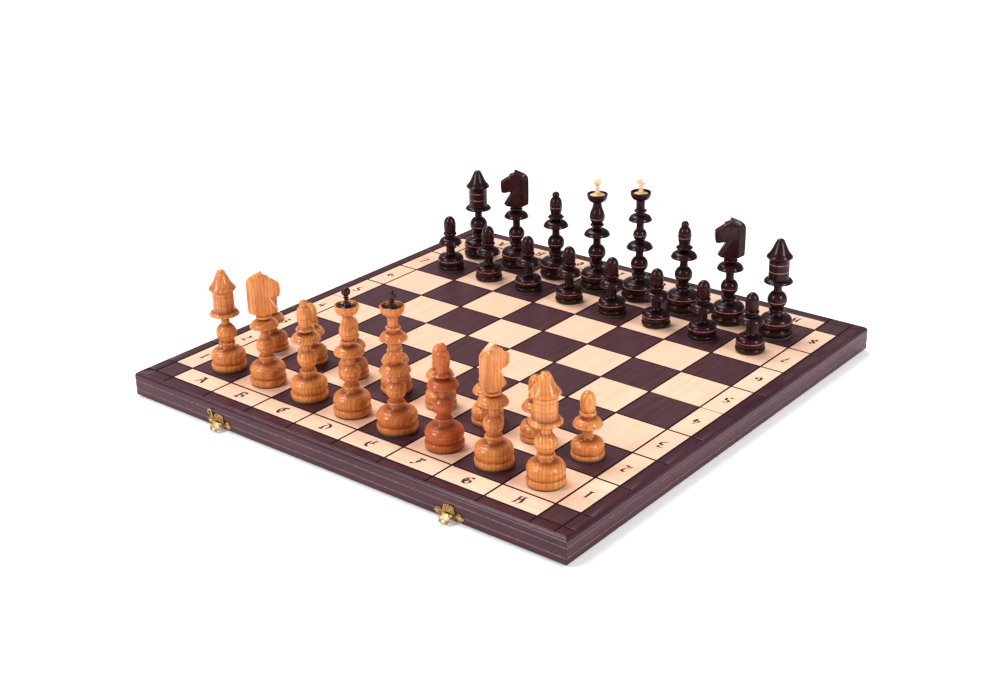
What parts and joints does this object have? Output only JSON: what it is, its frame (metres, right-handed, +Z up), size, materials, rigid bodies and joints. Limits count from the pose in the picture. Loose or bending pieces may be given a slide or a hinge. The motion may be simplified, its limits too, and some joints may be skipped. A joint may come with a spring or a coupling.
{
  "type": "chess set with folding board",
  "caption": "Folding wooden chess board laid open, with fold hinges, brass hasp latches and a full set of turned chessmen in light and dark wood on their starting squares.",
  "frame": {"origin": "middle of the open board at the fold, on the table plane", "axes": "+X along the files from a to h, +Y from White's side to Black's side, +Z up"},
  "size_m": [0.481, 0.4945, 0.1471],
  "materials": {
    "panel_wood": "lacquered playing face, pale and dark squares",
    "rim_wood": "dark stained and lacquered",
    "white_wood": "natural lacquered",
    "black_wood": "stained dark and lacquered",
    "dark_square": "stained violet brown, lacquered",
    "felt": "green felt",
    "brass": "stamped, lightly worn"
  },
  "bodies": {
    "front_half": {"front_panel": "panel_wood", "front_outer_rail": "rim_wood", "front_left_rail": "rim_wood", "front_right_rail": "rim_wood", "front_spine_rail": "rim_wood", "front_hinge_leaves": "brass", "hinge_pins": "brass", "front_latch_plates": "brass", "latch_pins": "brass", "front_nails": "brass"},
    "rear_half": {"rear_panel": "panel_wood", "rear_outer_rail": "rim_wood", "rear_left_rail": "rim_wood", "rear_right_rail": "rim_wood", "rear_spine_rail": "rim_wood", "rear_hinge_leaves": "brass", "rear_catch_plates": "brass", "rear_nails": "brass"},
    "left_hasp": {"left_hasp": "brass"},
    "right_hasp": {"right_hasp": "brass"},
    "white_rook_a": {"white_rook_a": "white_wood"},
    "white_knight_b": {"white_knight_b": "white_wood", "white_knight_b_head": "white_wood"},
    "white_bishop_c": {"white_bishop_c": "white_wood"},
    "white_queen": {"white_queen": "white_wood", "white_queen_finial": "black_wood"},
    "white_king": {"white_king": "white_wood", "white_king_finial": "black_wood"},
    "white_bishop_f": {"white_bishop_f": "white_wood"},
    "white_knight_g": {"white_knight_g": "white_wood", "white_knight_g_head": "white_wood"},
    "white_rook_h": {"white_rook_h": "white_wood"},
    "white_pawn_a": {"white_pawn_a": "white_wood"},
    "white_pawn_b": {"white_pawn_b": "white_wood"},
    "white_pawn_c": {"white_pawn_c": "white_wood"},
    "white_pawn_d": {"white_pawn_d": "white_wood"},
    "white_pawn_e": {"white_pawn_e": "white_wood"},
    "white_pawn_f": {"white_pawn_f": "white_wood"},
    "white_pawn_g": {"white_pawn_g": "white_wood"},
    "white_pawn_h": {"white_pawn_h": "white_wood"},
    "black_rook_a": {"black_rook_a": "black_wood"},
    "black_knight_b": {"black_knight_b": "black_wood", "black_knight_b_head": "black_wood"},
    "black_bishop_c": {"black_bishop_c": "black_wood"},
    "black_queen": {"black_queen": "black_wood", "black_queen_finial": "white_wood"},
    "black_king": {"black_king": "black_wood", "black_king_finial": "white_wood"},
    "black_bishop_f": {"black_bishop_f": "black_wood"},
    "black_knight_g": {"black_knight_g": "black_wood", "black_knight_g_head": "black_wood"},
    "black_rook_h": {"black_rook_h": "black_wood"},
    "black_pawn_a": {"black_pawn_a": "black_wood"},
    "black_pawn_b": {"black_pawn_b": "black_wood"},
    "black_pawn_c": {"black_pawn_c": "black_wood"},
    "black_pawn_d": {"black_pawn_d": "black_wood"},
    "black_pawn_e": {"black_pawn_e": "black_wood"},
    "black_pawn_f": {"black_pawn_f": "black_wood"},
    "black_pawn_g": {"black_pawn_g": "black_wood"},
    "black_pawn_h": {"black_pawn_h": "black_wood"}
  },
  "joints": [
    {"name": "board_fold", "type": "hinge", "parent": "front_half", "child": "rear_half", "pos_m": [0, 0, 0.0015], "axis": [-1, 0, 0], "range_deg": [0, 180]},
    {"name": "left_hasp_swing", "type": "hinge", "parent": "front_half", "child": "left_hasp", "pos_m": [-0.1295, -0.2427, 0.00625], "axis": [-1, 0, 0], "range_deg": [-44, 95]},
    {"name": "right_hasp_swing", "type": "hinge", "parent": "front_half", "child": "right_hasp", "pos_m": [0.1295, -0.2427, 0.00625], "axis": [-1, 0, 0], "range_deg": [-44, 95]},
    {"name": "white_rook_a_lift", "type": "slide", "parent": "front_half", "child": "white_rook_a", "axis": [0, 0, 1], "range_m": [0, 0.13]},
    {"name": "white_knight_b_lift", "type": "slide", "parent": "front_half", "child": "white_knight_b", "axis": [0, 0, 1], "range_m": [0, 0.13]},
    {"name": "white_bishop_c_lift", "type": "slide", "parent": "front_half", "child": "white_bishop_c", "axis": [0, 0, 1], "range_m": [0, 0.13]},
    {"name": "white_queen_lift", "type": "slide", "parent": "front_half", "child": "white_queen", "axis": [0, 0, 1], "range_m": [0, 0.13]},
    {"name": "white_king_lift", "type": "slide", "parent": "front_half", "child": "white_king", "axis": [0, 0, 1], "range_m": [0, 0.13]},
    {"name": "white_bishop_f_lift", "type": "slide", "parent": "front_half", "child": "white_bishop_f", "axis": [0, 0, 1], "range_m": [0, 0.13]},
    {"name": "white_knight_g_lift", "type": "slide", "parent": "front_half", "child": "white_knight_g", "axis": [0, 0, 1], "range_m": [0, 0.13]},
    {"name": "white_rook_h_lift", "type": "slide", "parent": "front_half", "child": "white_rook_h", "axis": [0, 0, 1], "range_m": [0, 0.13]},
    {"name": "white_pawn_a_lift", "type": "slide", "parent": "front_half", "child": "white_pawn_a", "axis": [0, 0, 1], "range_m": [0, 0.13]},
    {"name": "white_pawn_b_lift", "type": "slide", "parent": "front_half", "child": "white_pawn_b", "axis": [0, 0, 1], "range_m": [0, 0.13]},
    {"name": "white_pawn_c_lift", "type": "slide", "parent": "front_half", "child": "white_pawn_c", "axis": [0, 0, 1], "range_m": [0, 0.13]},
    {"name": "white_pawn_d_lift", "type": "slide", "parent": "front_half", "child": "white_pawn_d", "axis": [0, 0, 1], "range_m": [0, 0.13]},
    {"name": "white_pawn_e_lift", "type": "slide", "parent": "front_half", "child": "white_pawn_e", "axis": [0, 0, 1], "range_m": [0, 0.13]},
    {"name": "white_pawn_f_lift", "type": "slide", "parent": "front_half", "child": "white_pawn_f", "axis": [0, 0, 1], "range_m": [0, 0.13]},
    {"name": "white_pawn_g_lift", "type": "slide", "parent": "front_half", "child": "white_pawn_g", "axis": [0, 0, 1], "range_m": [0, 0.13]},
    {"name": "white_pawn_h_lift", "type": "slide", "parent": "front_half", "child": "white_pawn_h", "axis": [0, 0, 1], "range_m": [0, 0.13]},
    {"name": "black_rook_a_lift", "type": "slide", "parent": "rear_half", "child": "black_rook_a", "axis": [0, 0, 1], "range_m": [0, 0.13]},
    {"name": "black_knight_b_lift", "type": "slide", "parent": "rear_half", "child": "black_knight_b", "axis": [0, 0, 1], "range_m": [0, 0.13]},
    {"name": "black_bishop_c_lift", "type": "slide", "parent": "rear_half", "child": "black_bishop_c", "axis": [0, 0, 1], "range_m": [0, 0.13]},
    {"name": "black_queen_lift", "type": "slide", "parent": "rear_half", "child": "black_queen", "axis": [0, 0, 1], "range_m": [0, 0.13]},
    {"name": "black_king_lift", "type": "slide", "parent": "rear_half", "child": "black_king", "axis": [0, 0, 1], "range_m": [0, 0.13]},
    {"name": "black_bishop_f_lift", "type": "slide", "parent": "rear_half", "child": "black_bishop_f", "axis": [0, 0, 1], "range_m": [0, 0.13]},
    {"name": "black_knight_g_lift", "type": "slide", "parent": "rear_half", "child": "black_knight_g", "axis": [0, 0, 1], "range_m": [0, 0.13]},
    {"name": "black_rook_h_lift", "type": "slide", "parent": "rear_half", "child": "black_rook_h", "axis": [0, 0, 1], "range_m": [0, 0.13]},
    {"name": "black_pawn_a_lift", "type": "slide", "parent": "rear_half", "child": "black_pawn_a", "axis": [0, 0, 1], "range_m": [0, 0.13]},
    {"name": "black_pawn_b_lift", "type": "slide", "parent": "rear_half", "child": "black_pawn_b", "axis": [0, 0, 1], "range_m": [0, 0.13]},
    {"name": "black_pawn_c_lift", "type": "slide", "parent": "rear_half", "child": "black_pawn_c", "axis": [0, 0, 1], "range_m": [0, 0.13]},
    {"name": "black_pawn_d_lift", "type": "slide", "parent": "rear_half", "child": "black_pawn_d", "axis": [0, 0, 1], "range_m": [0, 0.13]},
    {"name": "black_pawn_e_lift", "type": "slide", "parent": "rear_half", "child": "black_pawn_e", "axis": [0, 0, 1], "range_m": [0, 0.13]},
    {"name": "black_pawn_f_lift", "type": "slide", "parent": "rear_half", "child": "black_pawn_f", "axis": [0, 0, 1], "range_m": [0, 0.13]},
    {"name": "black_pawn_g_lift", "type": "slide", "parent": "rear_half", "child": "black_pawn_g", "axis": [0, 0, 1], "range_m": [0, 0.13]},
    {"name": "black_pawn_h_lift", "type": "slide", "parent": "rear_half", "child": "black_pawn_h", "axis": [0, 0, 1], "range_m": [0, 0.13]}
  ]
}
